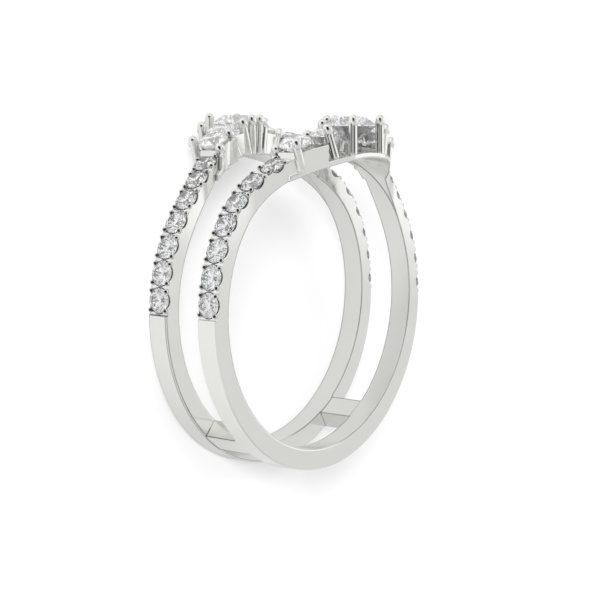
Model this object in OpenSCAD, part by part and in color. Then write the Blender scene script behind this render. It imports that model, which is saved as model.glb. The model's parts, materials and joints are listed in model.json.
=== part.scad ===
// Ring guard enhancer: two parallel bands joined across the bottom. Each band bows outward at
// the crown and carries five round stones in shared prongs, and small bead-set stones run down
// both of its limbs. Another ring is worn between the bands.
// Built in millimetres about the centre of the finger hole. Before the resting tilt, x runs
// across the ring, y up to the crown and z along the finger, so band A is below and band B above.

/* [Finger hole and bands] */
// inside diameter of the ring
hole_d = 17.3; // [16:0.1:19.5]
// radial thickness of the plain bands
band_t = 1.07; // [0.95:0.01:1.25]
// width of one band along the finger
band_w = 1.38; // [1.3:0.01:1.5]
// clear gap between the two bands
band_gap = 2.32; // [2:0.01:2.7]
// how much thicker the plain bands are at the very bottom
base_extra = 0.16; // [0.08:0.01:0.24]
// break of the bands' outer edges
edge_break = 0.08; // [0.04:0.01:0.12]
// how far the heads and bridges stand back from the finger
relief = 0.03; // [0.02:0.01:0.05]

/* [Bridges across the bottom] */
// angle from the crown at which a bridge starts
bridge_start = 139.2; // [136:0.1:142]
// angle that a bridge covers
bridge_span = 9.6; // [8:0.1:12]

/* [Heads] */
// diameter of the middle stone of a head, which sets the size of the whole head
head_stone_d = 2.9; // [2.7:0.01:3]
// distance of the middle stone from the ring's middle plane
head_out = 4.16; // [4:0.01:4.3]
// height of the tallest prong tips over the finger hole
prong_h = 2.42; // [2.3:0.01:2.5]
// diameter of a prong near its tip
prong_d = 0.5; // [0.44:0.01:0.54]
// height of the rail that the prongs stand on
rail_h = 0.32; // [0.26:0.01:0.4]

/* [Bead-set limbs] */
// diameter of a small stone
pave_d = 1.45; // [1.35:0.01:1.48]
// clear distance between two small stones
pave_space = 0.09; // [0.06:0.01:0.14]
// drop of the bead-set metal below the plain bands
pave_drop = 0.14; // [0.1:0.01:0.2]
// diameter of a bead
bead_d = 0.3; // [0.24:0.01:0.34]
// radius of the scallop cut into the limb's edge at each stone
scoop_r = 0.5; // [0.4:0.01:0.56]
// how far a scallop reaches below the stone's girdle
scoop_low = 0.2; // [0.14:0.01:0.26]
// depth of a scallop into the band's side
scoop_deep = 0.12; // [0.08:0.01:0.16]

/* [Stones and fits] */
// gap between each stone and its seat
seat_gap = 0.03; // [0.02:0.005:0.04]
// crown height of a stone as a share of its diameter
crown_share = 0.16; // [0.14:0.005:0.17]
// pavilion depth of a stone as a share of its diameter
pavilion_share = 0.43; // [0.4:0.005:0.44]
// table width of a stone as a share of its diameter
table_share = 0.56; // [0.52:0.01:0.6]
// girdle thickness of a stone as a share of its diameter
girdle_share = 0.03; // [0.02:0.005:0.04]

/* [Hidden] */
// roundness of every true circle
$fn = 96;
// small overlap that joins metal to metal
weld = 0.05;
// the eight girdle facets of a stone: their radius at the girdle and at the point, as shares of
// the stone's radius, and at the table, as a share of the table's
half_wide = 1.015;
half_point = 0.12;
half_table = 1.16;
// radii of the finger hole, the plain bands and the bead-set metal
hole_r = hole_d / 2;
out_r = hole_r + band_t;
pave_r = out_r - pave_drop;
// a length that reaches past the whole ring
far = 2 * out_r;
// faces of a band, and its centre line, from the ring's middle plane
face_in = band_gap / 2;
face_out = face_in + band_w;
band_mid = face_in + band_w / 2;

// Bow of a band seen from the crown: one arc out from the middle stone and one back to the
// straight band. Its radius is a share of head_stone_d, and bow_turn is the angle of the path
// where the two arcs meet.
bow_share = 2.69;
bow_r = bow_share * head_stone_d;
bow_turn = 32;
back_r = (head_out - band_mid) / (1 - cos(bow_turn)) - bow_r;
bow_len = (bow_r + back_r) * sin(bow_turn);
// angle of the path at which the limb's bar starts, under the outermost head stone
limb_turn = 21;

// Head stones of one half, middle stone first: place across the ring, distance back toward the
// ring's middle and diameter as shares of head_stone_d, then girdle height as a share of prong_h
stone_x = 0; stone_back = 1; stone_size = 2; stone_lift = 3;
head_stones = [
    [0, -0.07, 1, 0.769],
    [0.715, 0.075, 0.586, 0.655],
    [1.252, 0.36, 0.655, 0.635]
];

// Prongs of one half, outer three then inner four: place of the tip across the ring and distance
// out from the head's middle as shares of head_stone_d, tip height as a share of prong_h, the same
// two places of the foot, and the foot's width as a share of prong_d
prong_x = 0; prong_out = 1; prong_tip = 2; foot_x = 3; foot_out = 4; foot_wide = 5;
prongs = [
    [0.44, 0.432, 1, 0.445, 0.45, 1.05],
    [0.965, 0.19, 0.905, 0.72, 0.29, 1.1],
    [1.565, -0.1, 0.84, 1.3, -0.09, 1.1],
    [0.13, -0.44, 0.95, 0.08, -0.43, 1],
    [0.355, -0.385, 0.885, 0.2, -0.42, 1.3],
    [0.82, -0.4, 0.71, 0.52, -0.44, 1.3],
    [1.44, -0.69, 0.63, 1.22, -0.68, 1.2]
];

// Rim of one half head seen from the crown, as shares of head_stone_d in the prongs' directions,
// from the flat outer edge round to the flat inner edge
head_rim = [
    [0.45, 0.555], [0.65, 0.505], [0.9, 0.385], [1.14, 0.205], [1.39, 0.005], [1.6, -0.2],
    [1.64, -0.86], [1.1, -0.68], [0.83, -0.68], [0.8, -0.455]
];
rim_count = len(head_rim);
// Back of the inner wall in the same shares, from beyond the rim round to the flat inner edge
wall_back = [[1.42, -1], [1.42, -0.66], [1.13, -0.56], [0.95, -0.56], [0.92, -0.338]];
// where the shoulders start and end across the ring, as shares of head_stone_d, and how high they
// and the inner wall stand, as shares of prong_h
shoulder_share = 1.02;
shoulder_end = 1.45;
shoulder_lift = 0.513;
wall_share = 0.558;
// length of a prong's rounded end, and its width at the very tip
cap_h = 0.3 * prong_d;
cap_d = 0.55 * prong_d;
rail_flat = head_rim[0][0] * head_stone_d;
rail_out = head_out + head_rim[0][1] * head_stone_d;

// Small stones: the first stands next to the head, at a share of head_stone_d across the ring,
// the rest follow at one pitch, and the row ends a share of a pitch past the last one
pave_count = 7;
first_share = 1.697;
tail_share = 0.54;
pave_first = asin(first_share * head_stone_d / pave_r);
pave_pitch = (pave_d + pave_space) / pave_r * 180 / PI;
pave_end = pave_first + (pave_count - 1 + tail_share) * pave_pitch;
// how far a bead's centre stands outside the stone and above its girdle
bead_out = 0.05;
bead_up = 0.06;

// The ring lies on its side: on the flat of the lower head's rail and on the lower band's edge
flat_y = sqrt(pow(hole_r + relief, 2) - pow(rail_flat, 2));
rest_tilt = atan((rail_out - face_out) / (flat_y + out_r + base_extra - edge_break));

// Distance of the band's centre line from the ring's middle plane, at x across the ring
function path_z(x) =
    x < bow_r * sin(bow_turn) ? head_out - bow_r + sqrt(pow(bow_r, 2) - pow(x, 2)) :
    x < bow_len ? band_mid + back_r - sqrt(pow(back_r, 2) - pow(bow_len - x, 2)) : band_mid;

// Slope of that centre line as an angle
function path_turn(x) =
    x < bow_r * sin(bow_turn) ? asin(x / bow_r) :
    x < bow_len ? asin((bow_len - x) / back_r) : 0;

// A point of the head's plan, at x across the ring and z along the finger, from its two shares
function seen_point(p) = [p[0] * head_stone_d, head_out + p[1] * head_stone_d];

// Puts a child at an angle from the crown, a radius and a place along the finger, its z outward
module at_ring(angle, r, z)
    rotate([0, 0, -angle]) translate([0, r, z]) rotate([-90, 0, 0]) children();

// Raises a shape drawn as seen from the crown into an upright wall cut off at radius r
module as_wall(r)
    intersection() {
        rotate([90, 0, 0]) translate([0, 0, -r - 1]) linear_extrude(height = r + 1) children();
        cylinder(h = 4 * rail_out, r = r, center = true);
    }

// Both mirror halves across the ring
module both_sides() {
    children();
    mirror([1, 0, 0]) children();
}

// Band B as drawn, and band A as its mirror image
module on_band(band)
    if (band == "a") mirror([0, 0, 1]) children();
    else children();

// The right limb as drawn, and the left one as its mirror image
module on_limb(limb)
    if (limb == "left") mirror([1, 0, 0]) children();
    else children();

// Everything turns to the pose in which the ring rests on its side
module lying() rotate([rest_tilt, 0, 0]) children();

// A round brilliant with its girdle at z = 0: eight main and eight girdle facets above and below
// a girdle of sixteen sides. Every cone and prism runs the stone's whole height, and what all of
// them share is the stone.
module brilliant(d) {
    r = d / 2 * cos(11.25) / cos(22.5);
    crown = crown_share * d;
    deep = pavilion_share * d;
    girdle = girdle_share * d;
    table_r = table_share * d / 2;
    tall = deep + girdle + crown;
    // how much a cone's radius grows over the whole height, on the crown's and the pavilion's side
    crown_grow = (r - table_r) * tall / crown;
    half_grow = (half_wide * r - half_table * table_r) * tall / crown;
    deep_grow = r * tall / deep;
    lower_grow = (half_wide - half_point) * r * tall / deep;
    translate([0, 0, -girdle / 2 - deep]) intersection() {
        cylinder(h = tall, r = r, $fn = 8);
        rotate([0, 0, 22.5]) cylinder(h = tall, r = r, $fn = 8);
        cylinder(h = tall, r1 = table_r + crown_grow, r2 = table_r, $fn = 8);
        rotate([0, 0, 22.5])
            cylinder(h = tall, r1 = half_table * table_r + half_grow, r2 = half_table * table_r, $fn = 8);
        cylinder(h = tall, r1 = 0, r2 = deep_grow, $fn = 8);
        rotate([0, 0, 22.5])
            cylinder(h = tall, r1 = half_point * r, r2 = half_point * r + lower_grow, $fn = 8);
    }
}

// Room for a brilliant: seat_gap larger all round and open above the table
module seat(d) {
    r = d / 2 + seat_gap;
    table_r = table_share * d / 2 + 2 * seat_gap;
    girdle = girdle_share * d + 2 * seat_gap;
    up = crown_share * d + seat_gap;
    deep = pavilion_share * d + seat_gap;
    translate([0, 0, -girdle / 2]) cylinder(h = girdle, r = r);
    translate([0, 0, girdle / 2]) cylinder(h = up, r1 = r, r2 = table_r);
    translate([0, 0, girdle / 2 + up]) cylinder(h = up, r = table_r);
    translate([0, 0, -girdle / 2 - deep]) cylinder(h = deep, r1 = seat_gap, r2 = r);
}

// Puts a child at small stone i of the right limb of band B, its x along the limb
module at_pave(i) {
    angle = pave_first + i * pave_pitch;
    x = pave_r * sin(angle);
    at_ring(angle, pave_r, angle < 90 ? path_z(x) : band_mid)
        rotate([0, 0, angle < 90 ? path_turn(x) : 0]) children();
}

// Puts a child at head stone i of the right half of band B's head
module at_head(i) {
    s = head_stones[i];
    r = hole_r + s[stone_lift] * prong_h;
    at_ring(asin(s[stone_x] * head_stone_d / r), r, head_out - s[stone_back] * head_stone_d) children();
}

// The right limb of band B seen from the crown, as far as the ring's widest place
module limb_plan() {
    translate([0, head_out - bow_r]) intersection() {
        difference() {
            circle(r = bow_r + band_w / 2);
            circle(r = bow_r - band_w / 2);
        }
        polygon([
            [0, 0], [far * sin(limb_turn), far * cos(limb_turn)],
            [far * sin(bow_turn), far * cos(bow_turn)]
        ]);
    }
    translate([bow_len, band_mid + back_r]) intersection() {
        difference() {
            circle(r = back_r + band_w / 2);
            circle(r = back_r - band_w / 2);
        }
        polygon([[0, 0], [-far * sin(bow_turn), -far * cos(bow_turn)], [0, -far]]);
    }
    translate([bow_len, face_in]) square([far, band_w]);
}

// Metal of the right limb with its beads and scallops
module limb()
    difference() {
        union() {
            as_wall(pave_r) limb_plan();
            // a short stretch past the ring's widest place, on to the plain band
            intersection() {
                translate([0, 0, face_in]) cylinder(h = band_w, r = pave_r);
                translate([0, -pave_r / 3, 0]) cube([out_r, pave_r / 3, face_out]);
            }
            for (i = [0:pave_count - 1]) at_pave(i) pave_beads();
        }
        for (i = [0:pave_count - 1]) at_pave(i) pave_scoops();
    }

// The four beads at the corners of a small stone
module pave_beads() {
    corner = (pave_d / 2 + bead_out) * cos(45);
    for (x = [-corner, corner], y = [-corner, corner])
        translate([x, y, bead_up]) sphere(d = bead_d);
}

// The two scallops in the limb's edges at a small stone
module pave_scoops()
    for (s = [-1, 1])
        translate([0, s * (band_w / 2 - scoop_deep), scoop_r - scoop_low]) rotate([-90 * s, 0, 0])
            cylinder(h = band_w, r = scoop_r);

// The plain lower part of band B, from the end of one row of small stones to the other's. Its
// outside is a circle that sits lower than the finger hole, so the base is the thickest.
module shank() {
    e = edge_break;
    intersection() {
        translate([0, -base_extra, 0]) rotate_extrude() polygon([
            [0, face_in], [out_r - e, face_in], [out_r, face_in + e],
            [out_r, face_out - e], [out_r - e, face_out], [0, face_out]
        ]);
        linear_extrude(height = 2 * face_out) polygon([
            [0, 0], [far * sin(pave_end), far * cos(pave_end)], [far, -far],
            [-far, -far], [-far * sin(pave_end), far * cos(pave_end)]
        ]);
    }
}

// The two bars that join the bands across the bottom, a little inside the bands' outer faces
module bridges()
    both_sides()
        translate([0, -base_extra, 0])
            rotate([0, 0, 90 - bridge_start - bridge_span]) rotate_extrude(angle = bridge_span)
                translate([hole_r - base_extra - weld, -face_in - edge_break])
                    square([band_t - edge_break / 2 + base_extra + weld, band_gap + 2 * edge_break]);

// Metal of band B's head: rail, shoulders, inner wall and prongs
module head() {
    rim = [for (p = head_rim) seen_point(p)];
    rim_left = [for (i = [rim_count - 1:-1:0]) [-rim[i][0], rim[i][1]]];
    back = [for (p = wall_back) seen_point(p)];
    back_left = [for (i = [len(back) - 1:-1:0]) [-back[i][0], back[i][1]]];
    as_wall(hole_r + rail_h) polygon(concat(rim, rim_left));
    // shoulders under the outermost stones
    both_sides() as_wall(hole_r + shoulder_lift * prong_h) intersection() {
        polygon(rim);
        translate([shoulder_share * head_stone_d, 0])
            square([(shoulder_end - shoulder_share) * head_stone_d, rail_out]);
    }
    // inner wall
    as_wall(hole_r + wall_share * prong_h) intersection() {
        polygon(concat(rim, rim_left));
        polygon(concat(back, back_left));
    }
    both_sides() for (p = prongs) prong(p);
}

// Place of a prong's axis at a radius, from its two shares of head_stone_d
function prong_point(x, out, r) =
    [x * head_stone_d, sqrt(pow(r, 2) - pow(x * head_stone_d, 2)), head_out + out * head_stone_d];

// One prong from its wider foot, which reaches into the finger hole that is cut last, to its
// rounded tip, leaning from one to the other
module prong(p) {
    foot = prong_point(p[foot_x], p[foot_out], hole_r - prong_d / 2);
    way = prong_point(p[prong_x], p[prong_out], hole_r + p[prong_tip] * prong_h) - foot;
    long = norm(way);
    translate(foot) rotate([0, 0, -atan(way[0] / way[1])])
        rotate([asin(way[2] / long) - 90, 0, 0]) {
            cylinder(h = long - cap_h, d1 = p[foot_wide] * prong_d, d2 = prong_d);
            translate([0, 0, long - cap_h]) cylinder(h = cap_h, d1 = prong_d, d2 = cap_d);
        }
}

// Band B with its head and limbs, with every stone's seat cut through all of its metal
module band_metal()
    difference() {
        union() {
            shank();
            both_sides() limb();
            head();
        }
        both_sides() {
            for (i = [0:pave_count - 1]) at_pave(i) seat(pave_d);
            for (i = [0:len(head_stones) - 1])
                at_head(i) seat(head_stones[i][stone_size] * head_stone_d);
        }
    }

// The finger hole: a true bore in each band, with the heads and bridges standing back a little
module finger_hole() {
    cylinder(h = 4 * rail_out, r = hole_r, center = true);
    cylinder(h = band_gap - 2 * weld, r = hole_r + relief, center = true);
    for (s = [-1, 1]) translate([0, 0, s * (face_out + weld + rail_out)])
        cylinder(h = 2 * rail_out, r = hole_r + relief, center = true);
}

// The whole of the metal, with the finger hole cut last
module ring_frame() color("silver") lying() difference() {
    union() {
        for (band = ["a", "b"]) on_band(band) band_metal();
        bridges();
    }
    finger_hole();
}

// One stone of a head: number 1 to 5 from left to right
module head_stone(band, number) {
    i = abs(number - 3);
    color("white") lying() on_band(band) on_limb(number < 3 ? "left" : "right")
        at_head(i) brilliant(head_stones[i][stone_size] * head_stone_d);
}

// One small stone: number 1 next to the head
module pave_stone(band, limb, number)
    color("white") lying() on_band(band) on_limb(limb) at_pave(number - 1) brilliant(pave_d);

module head_a_1() head_stone("a", 1);
module head_a_2() head_stone("a", 2);
module head_a_3() head_stone("a", 3);
module head_a_4() head_stone("a", 4);
module head_a_5() head_stone("a", 5);
module head_b_1() head_stone("b", 1);
module head_b_2() head_stone("b", 2);
module head_b_3() head_stone("b", 3);
module head_b_4() head_stone("b", 4);
module head_b_5() head_stone("b", 5);
module pave_a_left_1() pave_stone("a", "left", 1);
module pave_a_left_2() pave_stone("a", "left", 2);
module pave_a_left_3() pave_stone("a", "left", 3);
module pave_a_left_4() pave_stone("a", "left", 4);
module pave_a_left_5() pave_stone("a", "left", 5);
module pave_a_left_6() pave_stone("a", "left", 6);
module pave_a_left_7() pave_stone("a", "left", 7);
module pave_a_right_1() pave_stone("a", "right", 1);
module pave_a_right_2() pave_stone("a", "right", 2);
module pave_a_right_3() pave_stone("a", "right", 3);
module pave_a_right_4() pave_stone("a", "right", 4);
module pave_a_right_5() pave_stone("a", "right", 5);
module pave_a_right_6() pave_stone("a", "right", 6);
module pave_a_right_7() pave_stone("a", "right", 7);
module pave_b_left_1() pave_stone("b", "left", 1);
module pave_b_left_2() pave_stone("b", "left", 2);
module pave_b_left_3() pave_stone("b", "left", 3);
module pave_b_left_4() pave_stone("b", "left", 4);
module pave_b_left_5() pave_stone("b", "left", 5);
module pave_b_left_6() pave_stone("b", "left", 6);
module pave_b_left_7() pave_stone("b", "left", 7);
module pave_b_right_1() pave_stone("b", "right", 1);
module pave_b_right_2() pave_stone("b", "right", 2);
module pave_b_right_3() pave_stone("b", "right", 3);
module pave_b_right_4() pave_stone("b", "right", 4);
module pave_b_right_5() pave_stone("b", "right", 5);
module pave_b_right_6() pave_stone("b", "right", 6);
module pave_b_right_7() pave_stone("b", "right", 7);

// the piece to build, or all of them

ring_frame();
head_a_1();
head_a_2();
head_a_3();
head_a_4();
head_a_5();
head_b_1();
head_b_2();
head_b_3();
head_b_4();
head_b_5();
pave_a_left_1();
pave_a_left_2();
pave_a_left_3();
pave_a_left_4();
pave_a_left_5();
pave_a_left_6();
pave_a_left_7();
pave_a_right_1();
pave_a_right_2();
pave_a_right_3();
pave_a_right_4();
pave_a_right_5();
pave_a_right_6();
pave_a_right_7();
pave_b_left_1();
pave_b_left_2();
pave_b_left_3();
pave_b_left_4();
pave_b_left_5();
pave_b_left_6();
pave_b_left_7();
pave_b_right_1();
pave_b_right_2();
pave_b_right_3();
pave_b_right_4();
pave_b_right_5();
pave_b_right_6();
pave_b_right_7();
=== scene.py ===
# %% [markdown]
# # A ring guard enhancer in white gold and white stones
# Two slim bands are joined across the bottom, and another ring is worn between them. Each band
# bows out at the crown and carries five round stones in shared prongs, with a row of small
# bead-set stones down both sides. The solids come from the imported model, which fixes every size
# and place. This lesson dresses them: it rounds the metal's shading, cuts finer stones, sets a
# rounded claw on every prong, and lights it all as in a jeweller's light tent.

# %% Load the frame
import json
import math
import bmesh
import bpy
import numpy as np
from mathutils import Matrix, Vector


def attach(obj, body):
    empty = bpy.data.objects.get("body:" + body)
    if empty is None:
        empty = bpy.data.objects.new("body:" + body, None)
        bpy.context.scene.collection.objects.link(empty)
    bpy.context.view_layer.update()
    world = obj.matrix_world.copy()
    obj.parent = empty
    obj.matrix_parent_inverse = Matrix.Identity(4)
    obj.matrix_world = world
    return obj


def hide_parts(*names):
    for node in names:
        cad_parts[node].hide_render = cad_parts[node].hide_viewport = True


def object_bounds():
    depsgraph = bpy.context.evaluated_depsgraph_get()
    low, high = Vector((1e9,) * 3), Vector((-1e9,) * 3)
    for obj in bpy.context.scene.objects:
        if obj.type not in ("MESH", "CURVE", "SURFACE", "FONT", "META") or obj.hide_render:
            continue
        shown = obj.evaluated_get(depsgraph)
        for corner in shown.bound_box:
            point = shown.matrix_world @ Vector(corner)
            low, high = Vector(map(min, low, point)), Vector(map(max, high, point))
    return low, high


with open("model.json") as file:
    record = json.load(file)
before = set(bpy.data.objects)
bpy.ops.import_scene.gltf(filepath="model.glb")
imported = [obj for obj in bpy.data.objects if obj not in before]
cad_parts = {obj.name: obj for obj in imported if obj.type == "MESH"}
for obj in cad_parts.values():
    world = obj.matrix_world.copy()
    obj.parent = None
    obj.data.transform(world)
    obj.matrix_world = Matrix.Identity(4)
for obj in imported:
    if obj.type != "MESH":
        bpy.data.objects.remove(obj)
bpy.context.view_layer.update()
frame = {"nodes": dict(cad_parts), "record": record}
MM = 0.001
print("solids in the frame:", len(frame["nodes"]))

# %% [markdown]
# The ring lies on its side in the frame, because that is how it rests, while a photograph shows
# it upright. A camera doesn't mind: turned with the ring, it sees the same picture. So we first
# write down the ring's own directions. The finger's axis comes from the record's bore, the crown
# direction is at right angles to it, and the third one runs across the ring.

# %% The ring's own directions
bore = next(m for m in frame["record"]["mounts"] if m["name"] == "finger_hole")
ALONG = Vector(bore["axis"]).normalized()
ACROSS = Vector((1, 0, 0))
CROWN = ALONG.cross(ACROSS).normalized()
RING = Matrix((ACROSS, CROWN, ALONG)).transposed()
print("along the finger:", [round(c, 3) for c in ALONG])
print("to the crown:", [round(c, 3) for c in CROWN])


def ring_point(x, y, z):
    """A point given in millimetres across, towards the crown and along the finger."""
    return RING @ Vector((x, y, z)) * MM


# %% [markdown]
# The camera stands a hand's width from the ring, to one side and a little towards the crown, so
# that both rows of stones and the inside of the far limbs show. Its place and directions are
# given in the ring's own frame, in which the crown is up, so the ring stands upright in the
# picture although it lies on the floor. A long lens keeps the bands nearly parallel.

# %% The camera
CAMERA_AT = (-81.228, 11.484, 65.551)
CAMERA_RIGHT = Vector((0.62481, 0.00837, 0.78073))
CAMERA_UP = Vector((0.07985, 0.99401, -0.07456))
SENSOR_WIDTH = 36
LENS_PER_WIDTH = 1754.3 / 600
NEAR, FAR = 0.005, 5

camera_data = bpy.data.cameras.new("camera")
camera_data.sensor_width = SENSOR_WIDTH
camera_data.lens = SENSOR_WIDTH * LENS_PER_WIDTH
camera_data.clip_start, camera_data.clip_end = NEAR, FAR
camera = bpy.data.objects.new("camera", camera_data)
bpy.context.scene.collection.objects.link(camera)
bpy.context.scene.camera = camera
turned = Matrix((CAMERA_RIGHT, CAMERA_UP, CAMERA_RIGHT.cross(CAMERA_UP))).transposed()
camera.matrix_world = Matrix.Translation(ring_point(*CAMERA_AT)) @ (RING @ turned).to_4x4()
print("camera height over the origin in mm:", round(camera.location.z / MM, 1))

# %% [markdown]
# The materials and the world below are small trees of nodes, and the same few nodes come back all
# the time. With these helpers each of them takes one line. A value that a helper takes may be a
# number, a colour or a direction, or the output of another node.

# %% Helpers for nodes
def set_socket(tree, value, socket):
    """Sets a socket to a value, or links another node's output to it."""
    if isinstance(value, bpy.types.NodeSocket):
        tree.links.new(value, socket)
    else:
        socket.default_value = value


def vector_math(tree, operation, *values):
    """Works on vectors. A dot product and a length are numbers, all else is a vector."""
    node = tree.nodes.new("ShaderNodeVectorMath")
    node.operation = operation
    for value, socket in zip(values, node.inputs):
        set_socket(tree, value, socket)
    return node.outputs["Value" if operation in ("DOT_PRODUCT", "LENGTH") else "Vector"]


def mapped(tree, value, low, high, to_low=0.0, to_high=1.0):
    """Takes what lies between low and high smoothly to what lies between two other numbers."""
    node = tree.nodes.new("ShaderNodeMapRange")
    node.interpolation_type = "SMOOTHSTEP"
    ends = {"From Min": low, "From Max": high, "To Min": to_low, "To Max": to_high}
    for label, number in ends.items():
        node.inputs[label].default_value = number
    set_socket(tree, value, node.inputs["Value"])
    return node.outputs["Result"]


def mixed(tree, factor, a, b):
    """A colour between a and b."""
    node = tree.nodes.new("ShaderNodeMix")
    node.data_type = "RGBA"
    sockets = (node.inputs["Factor"], node.inputs[6], node.inputs[7])
    for value, socket in zip((factor, a, b), sockets):
        set_socket(tree, value, socket)
    return node.outputs[2]


print("helpers:", [helper.__name__ for helper in (set_socket, vector_math, mapped, mixed)])

# %% [markdown]
# White metal has hardly a colour of its own: it shows its surroundings. Jewellers photograph it
# in a tent of white cloth, with one dark opening for the camera. Flat faces then mirror white
# cloth, while everything round, such as a prong, a bead or a softened edge, has some spot that
# mirrors the dark opening. That draws the thin dark lines and dots that make the form readable.
# The world here is such a tent: even white, dimmer only straight away from the crown, with that
# opening. Its size is given by two angles, up to which it is fully dark and from which it is
# cloth again.

# %% A light tent
OPENING_DARK, OPENING_RIM = 9, 15
TENT_WHITE = (0.76, 0.76, 0.757, 1)
TENT_LOW = (0.62, 0.63, 0.63, 1)
TENT_DARK = (0.02, 0.02, 0.022, 1)
LOW_CLOTH = (-1, -0.6)

world = bpy.data.worlds.new("light_tent")
bpy.context.scene.world = world
world.use_nodes = True
tent = world.node_tree
tent.nodes.clear()
look = tent.nodes.new("ShaderNodeTexCoord").outputs["Generated"]
to_crown = mapped(tent, vector_math(tent, "DOT_PRODUCT", look, CROWN), *LOW_CLOTH)
opening_ends = [math.cos(math.radians(angle)) for angle in (OPENING_RIM, OPENING_DARK)]
opening_way = camera.location.normalized()
to_camera = mapped(tent, vector_math(tent, "DOT_PRODUCT", look, opening_way), *opening_ends)
cloth = mixed(tent, to_crown, TENT_LOW, TENT_WHITE)
background = tent.nodes.new("ShaderNodeBackground")
background.inputs["Strength"].default_value = 1.0
tent.links.new(mixed(tent, to_camera, cloth, TENT_DARK), background.inputs["Color"])
surface_in = tent.nodes.new("ShaderNodeOutputWorld").inputs["Surface"]
tent.links.new(background.outputs[0], surface_in)
print("tent opening, degrees:", OPENING_DARK, "to", OPENING_RIM)

# %% [markdown]
# Two soft boxes outside the tent make the cloth brighter in two places. They give the metal its
# long soft gradients and the stones their sparkle. Two more, one over the camera and one over
# the crown, light the floor and leave no glare: they give the soft shadow under the ring, and
# neither the metal nor the stones mirror them.

# %% Soft boxes
SOFT_BOXES = (  # name, place in mm in the ring's frame, width and height in m, watts, mirrored
    ("soft_box_crown", (-120, 260, 120), 0.22, 0.22, 0.05, True),
    ("soft_box_side", (220, 60, 160), 0.16, 0.28, 0.05, True),
    ("soft_box_key", (-155, 60, 124), 0.055, 0.055, 0.34, False),
    ("soft_box_over_crown", (-40, 240, 120), 0.2, 0.2, 0.32, False),
)
for name, at, width, height, watts, mirrored in SOFT_BOXES:
    light = bpy.data.lights.new(name, "AREA")
    light.shape = "RECTANGLE"
    light.size, light.size_y, light.energy = width, height, watts
    box = bpy.data.objects.new(name, light)
    bpy.context.scene.collection.objects.link(box)
    box.location = ring_point(*at)
    box.rotation_euler = (-box.location).to_track_quat("-Z", "Y").to_euler()
    box.visible_glossy = box.visible_transmission = mirrored
print("soft boxes:", [entry[0] for entry in SOFT_BOXES])

# %% [markdown]
# The floor is a plain pale sheet of acrylic, lit a little from below, as on a light table. That
# keeps the picture's ground white and lets only a faint shadow show. The metal sees it a little
# dimmer than the camera does, so that polished metal doesn't vanish against it.

# %% The floor
FLOOR_SIDE = 1.6
ACRYLIC_GREY, ACRYLIC_ROUGHNESS = (0.5, 0.5, 0.5, 1), 0.6
GLOW_IN_METAL, GLOW_IN_PICTURE = 0.16, 0.4
WHITE = (1, 1, 1, 1)

floor_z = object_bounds()[0].z
left, right = -FLOOR_SIDE / 2, FLOOR_SIDE / 2
square = ((left, left), (right, left), (right, right), (left, right))
floor_corners = [(x, y, floor_z) for x, y in square]
floor_mesh = bpy.data.meshes.new("floor")
floor_mesh.from_pydata(floor_corners, [], [(0, 1, 2, 3)])
floor = bpy.data.objects.new("floor", floor_mesh)
bpy.context.scene.collection.objects.link(floor)
acrylic = bpy.data.materials.new("white_acrylic")
acrylic.use_nodes = True
sheet_tree = acrylic.node_tree
sheet = sheet_tree.nodes["Principled BSDF"]
sheet.inputs["Base Color"].default_value = ACRYLIC_GREY
sheet.inputs["Roughness"].default_value = ACRYLIC_ROUGHNESS
sheet.inputs["Emission Color"].default_value = WHITE
in_picture = sheet_tree.nodes.new("ShaderNodeLightPath").outputs["Is Camera Ray"]
glow = mapped(sheet_tree, in_picture, 0, 1, GLOW_IN_METAL, GLOW_IN_PICTURE)
sheet_tree.links.new(glow, sheet.inputs["Emission Strength"])
floor_mesh.materials.append(acrylic)
bpy.context.scene.view_settings.view_transform = "Standard"
print("floor at", round(floor_z / MM, 2), "mm")

# %% [markdown]
# Polished metal is never perfectly even: it has faint waves from the polishing wheel and
# hairlines from wear. Such small unevenness belongs on any metal, so it is a group of its own
# with named inputs, and each material that takes it gives its own numbers. The waves make the
# metal a little duller and brighter in turn, and the hairlines are heights for a Bump node.

# %% A group for small unevenness
WAVES_DETAIL, HAIRLINES_DETAIL = 2, 3
WAVES_ENDS = (0.3, 0.7)


def noise(tree, vector, scale, detail):
    node = tree.nodes.new("ShaderNodeTexNoise")
    node.inputs["Detail"].default_value = detail
    set_socket(tree, scale, node.inputs["Scale"])
    set_socket(tree, vector, node.inputs["Vector"])
    return node.outputs[0]


unevenness = bpy.data.node_groups.new("small_unevenness", "ShaderNodeTree")
new_socket = unevenness.interface.new_socket
new_socket("Vector", in_out="INPUT", socket_type="NodeSocketVector")
for label in ("Waves Scale", "Hairlines Scale", "Dull", "Bright"):
    new_socket(label, in_out="INPUT", socket_type="NodeSocketFloat")
for label in ("Hairlines", "Roughness"):
    new_socket(label, in_out="OUTPUT", socket_type="NodeSocketFloat")
given = unevenness.nodes.new("NodeGroupInput").outputs
put_out = unevenness.nodes.new("NodeGroupOutput").inputs
waves = noise(unevenness, given["Vector"], given["Waves Scale"], WAVES_DETAIL)
hairlines = noise(unevenness, given["Vector"], given["Hairlines Scale"], HAIRLINES_DETAIL)
between = unevenness.nodes.new("ShaderNodeMix")
for out, into in (
    (mapped(unevenness, waves, *WAVES_ENDS), between.inputs["Factor"]),
    (given["Bright"], between.inputs["A"]),
    (given["Dull"], between.inputs["B"]),
    (hairlines, put_out["Hairlines"]),
    (between.outputs["Result"], put_out["Roughness"]),
):
    unevenness.links.new(out, into)
print("group:", unevenness.name, [s.name for s in unevenness.interface.items_tree])

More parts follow.
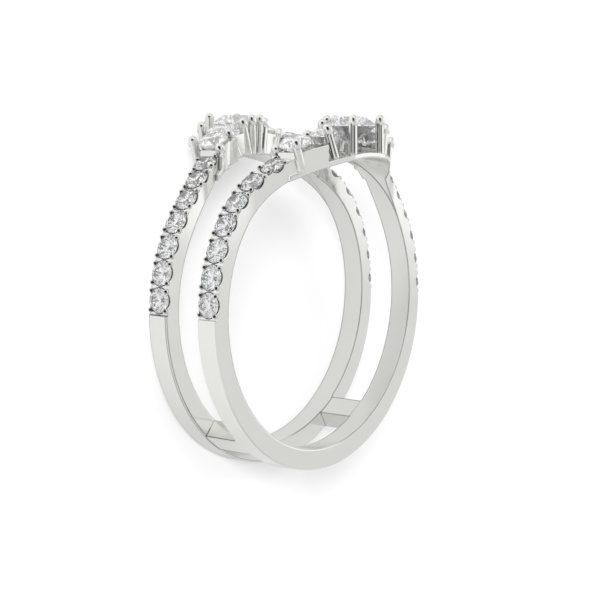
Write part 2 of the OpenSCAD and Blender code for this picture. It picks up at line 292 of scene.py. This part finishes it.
# %% [markdown]
# White gold is a metal of light, slightly warm grey. Ambient Occlusion finds the narrow corners
# beside beads and under stones, and there the base colour is darkened as painted shade:
# from each point it sends a few short rays and tells how many meet nothing.
# A few more helpers come first: a mask is a number from 0 to 1 over the surface, and where
# several masks are multiplied, only what lies in all of them is left.

# %% White gold: colour and corners
GOLD_OPEN = (0.865, 0.865, 0.838, 1)
GOLD_PAINTED_SHADE = (0.25, 0.25, 0.245, 1)
WEAR = {"Waves Scale": 450.0, "Hairlines Scale": 14000.0, "Dull": 0.2, "Bright": 0.12}
CORNER_REACH, CORNER_ENDS = 0.12 * MM, (0.25, 0.85)
SHORT_RAYS = 8


def new_material(name):
    material = bpy.data.materials.new(name)
    material.use_nodes = True
    tree = material.node_tree
    return material, tree, tree.nodes["Principled BSDF"]


def attribute(tree, name):
    """A mask that is stored on the mesh."""
    node = tree.nodes.new("ShaderNodeAttribute")
    node.attribute_name = name
    return node.outputs["Fac"]


def combined(tree, operation, *values):
    """Adds up or multiplies two or more numbers."""
    result = values[0]
    for value in values[1:]:
        node = tree.nodes.new("ShaderNodeMath")
        node.operation = operation
        set_socket(tree, result, node.inputs[0])
        set_socket(tree, value, node.inputs[1])
        result = node.outputs[0]
    return result


gold, gold_tree, gold_shader = new_material("white_gold")
gold_shader.inputs["Metallic"].default_value = 1.0
place = gold_tree.nodes.new("ShaderNodeTexCoord").outputs["Object"]
wear = gold_tree.nodes.new("ShaderNodeGroup")
wear.node_tree = unevenness
set_socket(gold_tree, place, wear.inputs["Vector"])
for label, number in WEAR.items():
    wear.inputs[label].default_value = number
gold_tree.links.new(wear.outputs["Roughness"], gold_shader.inputs["Roughness"])
# Painted shade: the base colour darkens where the short rays soon meet metal.
corners = gold_tree.nodes.new("ShaderNodeAmbientOcclusion")
corners.samples = SHORT_RAYS
corners.inputs["Distance"].default_value = CORNER_REACH
unshaded_share = mapped(gold_tree, corners.outputs["AO"], *CORNER_ENDS)
colour = mixed(gold_tree, unshaded_share, GOLD_PAINTED_SHADE, GOLD_OPEN)
print("corners are darker within", CORNER_REACH / MM, "mm")

# %% [markdown]
# Some edges of the ring look different from others, so the material has to know where on the
# ring it is. Object coordinates tell it: how far a point lies across, towards the crown and along
# the finger, and how far from the finger's axis. Two places matter, the outer edges at the left
# of the lower band's base, and the finger hole's edges on the right.

# %% White gold: places on the ring
BASE_RADIUS, BASE_ALONG, BASE_ACROSS, BASE_CROWN = (9.1, 9.3), (1.0, 1.1), (2.2, 3.2), (-0.4, 0.2)
BORE_RADIUS, BORE_ACROSS = (8.95, 9.1), (0.5, 2.5)


def beyond(value, ends):
    """A mask of the gold that rises from 0 to 1 between two places, given in millimetres."""
    return mapped(gold_tree, value, *(end * MM for end in ends))


def short_of(value, ends):
    """A mask of the gold that falls from 1 to 0 between two places, given in millimetres."""
    return mapped(gold_tree, value, *(end * MM for end in ends), 1, 0)


across_at, crown_at, along_at = (
    vector_math(gold_tree, "DOT_PRODUCT", place, way) for way in (ACROSS, CROWN, ALONG)
)
off_axis = vector_math(gold_tree, "CROSS_PRODUCT", place, ALONG)
radius = vector_math(gold_tree, "LENGTH", off_axis)
at_base = combined(
    gold_tree, "MULTIPLY", beyond(radius, BASE_RADIUS), short_of(along_at, BASE_ALONG),
    short_of(across_at, BASE_ACROSS), short_of(crown_at, BASE_CROWN),
)
at_bore = combined(
    gold_tree, "MULTIPLY", short_of(radius, BORE_RADIUS), beyond(across_at, BORE_ACROSS),
)
print("base mask from radius", BASE_RADIUS[0], "mm, finger hole mask to", BORE_RADIUS[1], "mm")

# %% [markdown]
# A Bevel node rounds the shading of every edge, as polishing does, without touching the mesh.
# The edges of the finger hole are rounded more than the others, so that the ring is comfortable:
# the distance from the finger's axis tells them apart. The edges at the left of the base are
# worn rounder too. A Bump node lays the hairlines on top.

# %% White gold: rounded edges
EDGE_ROUND, HOLE_EDGE_ROUND, BASE_ROUND = 0.05 * MM, 0.16 * MM, 0.07 * MM
HOLE_EDGE = (8.75, 9.2)
HAIRLINES_STRENGTH, HAIRLINES_HEIGHT = 0.25, 0.002 * MM


def up_to(mask, most):
    """A mask of the gold that is at most a given number."""
    return mapped(gold_tree, mask, 0, 1, 0, most)


hole_edge_ends = [end * MM for end in HOLE_EDGE]
by_radius = mapped(gold_tree, radius, *hole_edge_ends, HOLE_EDGE_ROUND, EDGE_ROUND)
rounded = gold_tree.nodes.new("ShaderNodeBevel")
rounded.samples = SHORT_RAYS
rounding = combined(gold_tree, "ADD", by_radius, up_to(at_base, BASE_ROUND))
gold_tree.links.new(rounding, rounded.inputs["Radius"])
relief = gold_tree.nodes.new("ShaderNodeBump")
relief.inputs["Strength"].default_value = HAIRLINES_STRENGTH
relief.inputs["Distance"].default_value = HAIRLINES_HEIGHT
gold_tree.links.new(wear.outputs["Hairlines"], relief.inputs["Height"])
gold_tree.links.new(rounded.outputs["Normal"], relief.inputs["Normal"])
gold_tree.links.new(relief.outputs["Normal"], gold_shader.inputs["Normal"])
print("edge rounding, mm:", EDGE_ROUND / MM, "and at the finger hole", HOLE_EDGE_ROUND / MM)

# %% [markdown]
# What is small and round mirrors the dark things round a tent as thin marks. This tent is too
# plain to give them all, so they are painted in the base colour, by how the surface is turned to
# one fixed side, about that of the tent's opening. Paint stays where it is when the ring is seen
# from another side, while a true reflection would move. The prongs are thin bars with narrow
# stripes a little away from that side, and a claw's dome and a bead have one small spot straight
# towards it. Attributes on the mesh say what is a prong, a dome or a bead. An edge is where the
# Bevel node's normal leaves the true one, and it gets a thin line in the two places found above.

# %% White gold: dark marks
MIRRORED_DARK = (0.06, 0.06, 0.058, 1)
OPENING_SIDE = (RING @ Vector((-0.8, 0.01, 0.6))).normalized()
STRIPE_RISE, STRIPE_FALL = (0.84, 0.89), (0.955, 0.985)
SPOT, BEAD_SPOT = (0.94, 0.98), (0.78, 0.84)
EDGE = (0.997, 0.93)
BASE_LINE, BORE_LINE = 0.9, 0.5

true_normal = gold_tree.nodes.new("ShaderNodeNewGeometry").outputs["Normal"]
to_opening = vector_math(gold_tree, "DOT_PRODUCT", true_normal, OPENING_SIDE)
bent = vector_math(gold_tree, "DOT_PRODUCT", true_normal, rounded.outputs["Normal"])
edge = mapped(gold_tree, bent, *EDGE)
# Painted reflections: dark stripes, spots and edge lines laid into the base colour.
for masks in (
    (attribute(gold_tree, "prong"), mapped(gold_tree, to_opening, *STRIPE_FALL, 1, 0),
     mapped(gold_tree, to_opening, *STRIPE_RISE)),
    (attribute(gold_tree, "dome"), mapped(gold_tree, to_opening, *SPOT)),
    (attribute(gold_tree, "bead"), mapped(gold_tree, to_opening, *BEAD_SPOT)),
    (edge, up_to(at_base, BASE_LINE)),
    (edge, up_to(at_bore, BORE_LINE)),
):
    colour = mixed(gold_tree, combined(gold_tree, "MULTIPLY", *masks), colour, MIRRORED_DARK)
gold_tree.links.new(colour, gold_shader.inputs["Base Color"])
print("side of the dark marks:", [round(c, 2) for c in OPENING_SIDE])

# %% [markdown]
# The stones are clear and strongly refracting. Their looks come from the cut: light enters by
# the table, is mirrored twice by the pavilion and leaves again, so a well-cut stone shows white
# and black flashes and never what lies behind it. Each stone gets its own slight tint, and a
# faint glow, painted light, stands for the many fine flashes that melt together in a small
# picture. The stones over the windows of the upper head also show their undersides between the
# prongs. From outside, an underside looks dark with a few bright facets; this dark is a painted
# reflection in the base colour, which an attribute and Backfacing bring out.

# %% The stones' materials
STONE_COOL = (0.93, 0.955, 1.0, 1)
STONE_WARM = (1.0, 0.995, 0.975, 1)
UNDER_PAINTED_DARK = (0.01, 0.01, 0.011, 1)
REFRACTION = 2.417
HEAD_GLOW, WINDOW_GLOW, SMALL_GLOW = 0.07, 0.06, 0.018


def stone_look(name, glow, painted_dark_under):
    material, tree, shader = new_material(name)
    clear = mixed(tree, attribute(tree, "tint"), STONE_COOL, STONE_WARM)
    inside = tree.nodes.new("ShaderNodeNewGeometry").outputs["Backfacing"]
    outside = mapped(tree, inside, 0, 1, painted_dark_under, 0)
    # Painted reflection: faces under the girdle are darkened from outside, by the under attribute.
    dark = combined(tree, "MULTIPLY", attribute(tree, "under"), outside)
    tree.links.new(mixed(tree, dark, clear, UNDER_PAINTED_DARK), shader.inputs["Base Color"])
    shader.inputs["Transmission Weight"].default_value = 1.0
    shader.inputs["Roughness"].default_value = 0.0
    shader.inputs["IOR"].default_value = REFRACTION
    shader.inputs["Emission Color"].default_value = WHITE
    shader.inputs["Emission Strength"].default_value = glow
    return material


head_look = stone_look("clear_head_stone", HEAD_GLOW, 0.0)
window_look = stone_look("clear_window_stone", WINDOW_GLOW, 1.0)
small_look = stone_look("clear_small_stone", SMALL_GLOW, 0.0)
print("stone refraction:", REFRACTION)

# %% [markdown]
# The metal's solid comes as loose triangles with flat shading, which would show on polished
# metal. A copy is merged, and its shading is made smooth everywhere except across real edges.
# The copy stands for the solid: it has the same shape.

# %% The metal
SHARP = math.radians(28)
SAME_PLACE = 1e-8


def merged_copy(node, name):
    mesh = frame["nodes"][node].data.copy()
    mesh.name = name
    work = bmesh.new()
    work.from_mesh(mesh)
    bmesh.ops.remove_doubles(work, verts=work.verts, dist=SAME_PLACE)
    bmesh.ops.dissolve_degenerate(work, edges=work.edges, dist=SAME_PLACE)
    for face in work.faces:
        face.smooth = True
    for edge in work.edges:
        edge.smooth = edge.is_manifold and edge.calc_face_angle(0) < SHARP
    work.to_mesh(mesh)
    work.free()
    if "custom_normal" in mesh.attributes:
        mesh.attributes.remove(mesh.attributes["custom_normal"])
    mesh.materials.clear()
    mesh.materials.append(gold)
    obj = bpy.data.objects.new(name, mesh)
    bpy.context.scene.collection.objects.link(obj)
    return obj


metal = merged_copy("ring_frame", "white_gold_frame")
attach(metal, "root")
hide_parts("ring_frame")
print("metal triangles:", len(metal.data.polygons))

# %% [markdown]
# The prongs need marks for their painted reflection stripes and later claws on their tips, so we
# write down where they are. One half of a head has seven, and the other halves mirror it. Each
# line gives a prong's tip, how far across and out in shares of the largest stone and how high in
# shares of the prongs' height, then its foot, across and out, and how much wider the foot is. Four
# prongs that stand free have strong stripes, and the others only faint ones.

# %% Where the prongs are
HEAD_STONE, HEAD_OUT, PRONG_HEIGHT, PRONG_R, HOLE_R = 2.9, 4.16, 2.42, 0.25, 8.65
PRONGS = (
    (0.44, 0.432, 1.0, 0.445, 0.45, 1.05), (0.965, 0.19, 0.905, 0.72, 0.29, 1.1),
    (1.565, -0.1, 0.84, 1.3, -0.09, 1.1), (0.13, -0.44, 0.95, 0.08, -0.43, 1.0),
    (0.355, -0.385, 0.885, 0.2, -0.42, 1.3), (0.82, -0.4, 0.71, 0.52, -0.44, 1.3),
    (1.44, -0.69, 0.63, 1.22, -0.68, 1.2),
)
INNER_ROW = -0.3
STRIPED = {(1, -1, 0): 1.0, (1, 1, 0): 1.0, (1, -1, 1): 0.85, (-1, 1, 4): 0.9}
FAINT = 0.12


def prong_point(band, side, across, out, height):
    x = side * across * HEAD_STONE
    r = HOLE_R + height
    return ring_point(x, math.sqrt(r * r - x * x), band * (HEAD_OUT + out * HEAD_STONE))


def prong_axes():
    """Foot, tip, width of the foot, direction over the stones and stripes of every prong."""
    for band in (-1, 1):
        for side in (-1, 1):
            for number, (x, out, tip, foot_x, foot_out, wide) in enumerate(PRONGS):
                foot = prong_point(band, side, foot_x, foot_out, -PRONG_R)
                top = prong_point(band, side, x, out, tip * PRONG_HEIGHT)
                over_stones = -band if out > INNER_ROW else band
                yield foot, top, wide, over_stones, STRIPED.get((band, side, number), FAINT)


print("prongs:", len(list(prong_axes())))

# %% [markdown]
# A mark is an attribute: a number stored on each corner point of the mesh, which the material
# reads. Corner points that are about as near to a prong's axis as its own surface belong to the
# prong, but for its foot, which melts into the rail.

# %% Mark the prongs
REACH, STRIPED_FROM = 1.06, 0.24


def mark_corners(mesh, name, values):
    """Stores one number for each corner point of a mesh, for a material to read."""
    mesh.attributes.new(name, "FLOAT", "POINT").data.foreach_set("value", values)
    print(name, "marks:", int(np.count_nonzero(values)))


metal_corners = np.array([v.co for v in metal.data.vertices])
on_prong = np.zeros(len(metal_corners))
for foot, top, wide, _, stripes in prong_axes():
    way = np.array(top - foot)
    from_foot = metal_corners - np.array(foot)
    share = (from_foot @ way / (way @ way)).clip(0, 1)
    off = np.linalg.norm(from_foot - share[:, None] * way, axis=1)
    reach = PRONG_R * MM * (wide + (1 - wide) * share) * REACH
    on_prong[(off < reach) & (share > STRIPED_FROM)] = stripes
mark_corners(metal.data, "prong", on_prong)

# %% [markdown]
# A round brilliant has a table, eight star facets, eight kites and sixteen small facets above
# the girdle, and sixteen small and eight long facets below it. Its proportions are shares of
# its diameter. The kites and the long facets fix the height of the points between them, because
# a facet is flat. Its corners lie on rings round its axis: the table, the stars' tips, the
# girdle's upper and lower edge, the small lower facets' tips, and the point at the bottom.

# %% The corners of a round brilliant of diameter 1
TABLE_R, STAR_R, GIRDLE_R, LOWER_R = 0.28, 0.408, 0.5, 0.115
TOP, GIRDLE_HALF, BOTTOM = 0.175, 0.015, -0.445
FOLDS = 8


def turn_point(r, step, z):
    """A point at radius r, at a number of half steps round the axis."""
    angle = step * math.pi / FOLDS
    return (r * math.cos(angle), r * math.sin(angle), z)


def brilliant_points():
    flat = math.cos(math.pi / FOLDS)
    star_z = TOP + (STAR_R * flat - TABLE_R) * (GIRDLE_HALF - TOP) / (GIRDLE_R - TABLE_R)
    lower_z = BOTTOM + LOWER_R * flat * (-GIRDLE_HALF - BOTTOM) / GIRDLE_R
    evens, odds, every = range(0, 2 * FOLDS, 2), range(1, 2 * FOLDS, 2), range(2 * FOLDS)
    rings = (
        (TABLE_R, evens, TOP), (STAR_R, odds, star_z), (GIRDLE_R, every, GIRDLE_HALF),
        (GIRDLE_R, every, -GIRDLE_HALF), (LOWER_R, odds, lower_z), (0, (0,), BOTTOM),
    )
    starts = [sum(len(steps) for _, steps, _ in rings[:n]) for n in range(len(rings))]
    return [turn_point(r, step, z) for r, steps, z in rings for step in steps], starts


print("corners of a stone:", len(brilliant_points()[0]))

# %% [markdown]
# The facets join the corners, ring by ring. Those under the girdle also get a chance amount of
# painted dark reflection in an attribute, for the stones whose undersides show: most are dark and
# some are lighter.

# %% The facets of a round brilliant
UNDER_PAINTED_AMOUNTS, UNDER_SEED, UNDER_FROM = (1.0, 0.8, 0.3), 11, -1.5 * GIRDLE_HALF


def brilliant_faces(table, star, upper, under, lower, bottom):
    """The facets, from the number of the first corner on each ring."""
    faces = [tuple(table + k for k in range(FOLDS))]
    for k in range(FOLDS):
        last, after = (k - 1) % FOLDS, (k + 1) % FOLDS
        a, b = 2 * k, (2 * k + 2) % (2 * FOLDS)
        faces += [
            (table + k, star + k, table + after),
            (table + k, star + last, upper + a, star + k),
            (star + k, upper + a, upper + a + 1), (star + k, upper + a + 1, upper + b),
            (under + a, lower + k, under + a + 1), (under + a + 1, lower + k, under + b),
            (under + a, lower + last, bottom, lower + k),
        ]
    for k in range(2 * FOLDS):
        after = (k + 1) % (2 * FOLDS)
        faces.append((upper + k, under + k, under + after, upper + after))
    return faces


def brilliant_mesh(name):
    points, starts = brilliant_points()
    mesh = bpy.data.meshes.new(name)
    mesh.from_pydata(points, [], brilliant_faces(*starts))
    work = bmesh.new()
    work.from_mesh(mesh)
    bmesh.ops.recalc_face_normals(work, faces=work.faces)
    work.to_mesh(mesh)
    work.free()
    shade = np.random.default_rng(UNDER_SEED)
    # Painted reflection: how dark each facet under the girdle is painted.
    below = [shade.choice(UNDER_PAINTED_AMOUNTS) if f.center.z < UNDER_FROM else 0.0 for f in mesh.polygons]
    mesh.attributes.new("under", "FLOAT", "FACE").data.foreach_set("value", below)
    return mesh


brilliant = bpy.data.objects.new("brilliant_template", brilliant_mesh("brilliant_template"))
bpy.context.scene.collection.objects.link(brilliant)
print("facets of a stone:", len(brilliant.data.polygons) - 2 * FOLDS, "and the girdle")

# %% [markdown]
# Where does each stone sit? The frame's simpler stones say so. A stone is round, so the spread
# of its corners is the same in all directions but one, and that one is its axis. The only corner
# on the axis is the point at the bottom, which tells up from down.

# %% Read each stone's seat from the frame
SAME_DIGITS, RIM_SHARE = 8, 0.999


def seat_of(node):
    """The middle of a stone's girdle, the stone's axis and its width."""
    points = np.array([v.co for v in frame["nodes"][node].data.vertices])
    points = np.unique(np.round(points, SAME_DIGITS), axis=0)
    spread, directions = np.linalg.eigh(np.cov((points - points.mean(0)).T))
    axis = directions[:, np.argmax(np.abs(spread - np.median(spread)))]
    along = points @ axis
    middle = points.mean(0) - (points.mean(0) @ axis) * axis
    out = np.linalg.norm(points - np.outer(along, axis) - middle, axis=1)
    if along[np.argmin(out)] > along.mean():
        axis, along = -axis, -along
    centre = middle + axis * along[out > out.max() * RIM_SHARE].mean()
    return Vector(centre), Vector(axis), 2 * out.max()


def stones_named(start):
    return sorted(n for n in frame["nodes"] if n.startswith(start))


seats = {n: seat_of(n) for start in ("head_", "pave_") for n in stones_named(start)}
small_width = round(seats["pave_a_left_1"][2] / MM, 2)
print("head stones, mm:", [round(seats[n][2] / MM, 2) for n in stones_named("head_a_")])
print("small stones:", len(stones_named("pave_")), "of", small_width, "mm")

# %% [markdown]
# Each small stone is held by four beads, raised from the metal round it. They are tiny domes, and
# each gets a dark speck, a painted reflection. The corners of the metal that stand a little higher
# than a stone's girdle and close beside it belong to beads, and an attribute marks them.

# %% Mark the beads
BEAD_HEIGHTS, BEAD_DISTANCES = (0.07, 0.23), (0.6, 0.95)

on_bead = np.zeros(len(metal_corners), dtype=bool)
for node in stones_named("pave_"):
    centre, axis, _ = seats[node]
    from_stone = (metal_corners - np.array(centre)) / MM
    height = from_stone @ np.array(axis)
    distance = np.sqrt(((from_stone - np.outer(height, axis)) ** 2).sum(1))
    raised = (height > BEAD_HEIGHTS[0]) & (height < BEAD_HEIGHTS[1])
    on_bead |= raised & (distance > BEAD_DISTANCES[0]) & (distance < BEAD_DISTANCES[1])
mark_corners(metal.data, "bead", on_bead.astype(float))

# %% [markdown]
# One small Geometry Nodes tree sets a template on every point of a mesh. Each point carries its
# own turn and size as attributes. The tree also gives each copy a random tint with a fixed
# seed, and ends in Realize Instances and Set Material, so the result is a plain mesh.

# %% The tree that sets pieces on points
def enabled(sockets, name):
    """The socket that is in use, where a node has one of the same name for each kind of value."""
    return next(s for s in sockets if s.name == name and s.enabled)


def setting_tree():
    tree = bpy.data.node_groups.new("set_on_points", "GeometryNodeTree")
    kinds = {"Points": "Geometry", "Template": "Object", "Scale": "Float", "Seed": "Int",
             "Material": "Material"}
    for label, kind in kinds.items():
        tree.interface.new_socket(label, in_out="INPUT", socket_type="NodeSocket" + kind)
    tree.interface.new_socket("Pieces", in_out="OUTPUT", socket_type="NodeSocketGeometry")
    nodes = tree.nodes
    given, made = nodes.new("NodeGroupInput").outputs, nodes.new("NodeGroupOutput")
    points = nodes.new("GeometryNodeMeshToPoints")
    info = nodes.new("GeometryNodeObjectInfo")
    copies = nodes.new("GeometryNodeInstanceOnPoints")
    turn, size = (nodes.new("GeometryNodeInputNamedAttribute") for _ in range(2))
    turn.data_type, turn.inputs["Name"].default_value = "QUATERNION", "turn"
    size.data_type, size.inputs["Name"].default_value = "FLOAT_VECTOR", "size"
    scaled = nodes.new("ShaderNodeVectorMath")
    scaled.operation = "SCALE"
    tints = nodes.new("FunctionNodeRandomValue")
    keep = nodes.new("GeometryNodeStoreNamedAttribute")
    keep.data_type, keep.domain = "FLOAT", "INSTANCE"
    keep.inputs["Name"].default_value = "tint"
    real = nodes.new("GeometryNodeRealizeInstances")
    dress = nodes.new("GeometryNodeSetMaterial")
    for out, into in (
        (given["Points"], points.inputs["Mesh"]),
        (points.outputs[0], copies.inputs["Points"]),
        (given["Template"], info.inputs["Object"]),
        (info.outputs["Geometry"], copies.inputs["Instance"]),
        (enabled(turn.outputs, "Attribute"), copies.inputs["Rotation"]),
        (enabled(size.outputs, "Attribute"), scaled.inputs[0]),
        (given["Scale"], scaled.inputs["Scale"]),
        (scaled.outputs[0], copies.inputs["Scale"]),
        (given["Seed"], tints.inputs["Seed"]),
        (copies.outputs[0], keep.inputs["Geometry"]),
        (enabled(tints.outputs, "Value"), enabled(keep.inputs, "Value")),
        (keep.outputs[0], real.inputs[0]),
        (real.outputs[0], dress.inputs["Geometry"]),
        (given["Material"], dress.inputs["Material"]),
        (dress.outputs[0], made.inputs[0]),
    ):
        tree.links.new(out, into)
    return tree


SET_ON_POINTS = setting_tree()
INPUT_IDS = {
    s.name: s.identifier for s in SET_ON_POINTS.interface.items_tree if s.in_out == "INPUT"
}
print("inputs of the tree:", list(INPUT_IDS))

# %% [markdown]
# The tree is used through a modifier on a mesh of bare points. Its inputs are set by their
# identifiers, the result is taken as a plain mesh, and the modifier is removed. Then the piece
# is told what it rides on, and the solids it stands for are hidden.

# %% Set a template on its places
def set_pieces(name, places, template, material, seed, nodes=()):
    """Sets the template at each place, which is a point, a turn and a size, as one plain mesh."""
    mesh = bpy.data.meshes.new(name)
    mesh.from_pydata([point for point, _, _ in places], [], [])
    turns = mesh.attributes.new("turn", "QUATERNION", "POINT")
    turns.data.foreach_set("value", [x for _, turn, _ in places for x in turn])
    sizes_in = mesh.attributes.new("size", "FLOAT_VECTOR", "POINT")
    sizes_in.data.foreach_set("vector", [x for _, _, size in places for x in size])
    host = bpy.data.objects.new(name, mesh)
    bpy.context.scene.collection.objects.link(host)
    modifier = host.modifiers.new("set", "NODES")
    modifier.node_group = SET_ON_POINTS
    inputs = {"Template": template, "Scale": 1.0, "Seed": seed, "Material": material}
    for label, value in inputs.items():
        modifier[INPUT_IDS[label]] = value
    graph = bpy.context.evaluated_depsgraph_get()
    plain = bpy.data.meshes.new_from_object(host.evaluated_get(graph))
    plain.name = name
    host.modifiers.clear()
    host.data = plain
    bpy.data.meshes.remove(mesh)
    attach(host, "root")
    if nodes:
        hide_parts(*nodes)
    print(name, "copies:", len(places), "faces:", len(plain.polygons))


# %% [markdown]
# The stones go in as three pieces, one for each material. No two stones of a real ring are
# turned alike, so each is turned about its axis by a chance angle, up to one of its eight folds.

# %% Head stones and small stones
TURN_SEED, HEAD_SEED, WINDOW_SEED, SMALL_SEED = 7, 3, 4, 5
draw = np.random.default_rng(TURN_SEED)


def stone_places(names):
    made = []
    for n in names:
        centre, axis, width = seats[n]
        spin = Matrix.Rotation(draw.uniform(0, math.tau / FOLDS), 3, "Z").to_quaternion()
        made.append((centre, axis.to_track_quat("Z", "Y") @ spin, (width,) * 3))
    return made


window_names = ["head_b_2", "head_b_3", "head_b_4"]
head_names = [n for n in stones_named("head_") if n not in window_names]
for name, names, look, seed in (
    ("head_stones", head_names, head_look, HEAD_SEED),
    ("window_stones", window_names, window_look, WINDOW_SEED),
    ("small_stones", stones_named("pave_"), small_look, SMALL_SEED),
):
    set_pieces(name, stone_places(names), brilliant, look, seed, names)
bpy.data.objects.remove(brilliant)

# %% [markdown]
# A prong is bent over its stone and its end is rounded into a bead. The solids have straight
# prongs with a small bevel at the end, so a rounded claw is set on each: a short round bar with
# a domed end that leans over the row of stones. It is given for a bar of radius 1, as rings of
# points up its side and over its dome, and the dome is marked for its painted dark spot, a
# reflection.

# %% A claw
CLAW_R, CLAW_LEAN, CLAW_SINK, CLAW_SEED = 0.262, 14, 0.1, 1
CLAW_SIDE = [(0.84, -1.6), (0.98, -0.8), (1.0, -0.3)]
DOME_HEIGHT, DOME_START, DOME_RINGS, DOME_MARK = 0.9, 0.15, 7, -0.35
AROUND = 24


def claw_mesh(name):
    angles = np.linspace(0, 2 * math.pi, AROUND, endpoint=False)
    rises = np.linspace(DOME_START, math.pi / 2, DOME_RINGS)
    profile = CLAW_SIDE + [(math.cos(a), DOME_HEIGHT * math.sin(a)) for a in rises]
    work = bmesh.new()
    rings = [
        [work.verts.new((r * math.cos(t), r * math.sin(t), z)) for t in angles]
        for r, z in profile[:-1]
    ]
    top = work.verts.new((0, 0, profile[-1][1]))
    for a, b in zip(rings, rings[1:]):
        for k in range(AROUND):
            n = (k + 1) % AROUND
            work.faces.new((a[k], a[n], b[n], b[k]))
    for k in range(AROUND):
        work.faces.new((rings[-1][k], rings[-1][(k + 1) % AROUND], top))
    work.faces.new(rings[0][::-1])
    for face in work.faces:
        face.smooth = True
    mesh = bpy.data.meshes.new(name)
    work.to_mesh(mesh)
    work.free()
    mark_corners(mesh, "dome", [float(v.co.z > DOME_MARK) for v in mesh.vertices])
    return mesh


claw = bpy.data.objects.new("claw_template", claw_mesh("claw_template"))
bpy.context.scene.collection.objects.link(claw)


def claw_places():
    made = []
    lean = math.tan(math.radians(CLAW_LEAN))
    for foot, top, _, over_stones, _ in prong_axes():
        way = (top - foot).normalized()
        axis = (way + lean * over_stones * ALONG).normalized()
        turn = axis.to_track_quat("Z", "Y")
        made.append((top - axis * CLAW_SINK * MM, turn, (CLAW_R * MM,) * 3))
    return made


set_pieces("claws", claw_places(), claw, gold, CLAW_SEED)
bpy.data.objects.remove(claw)
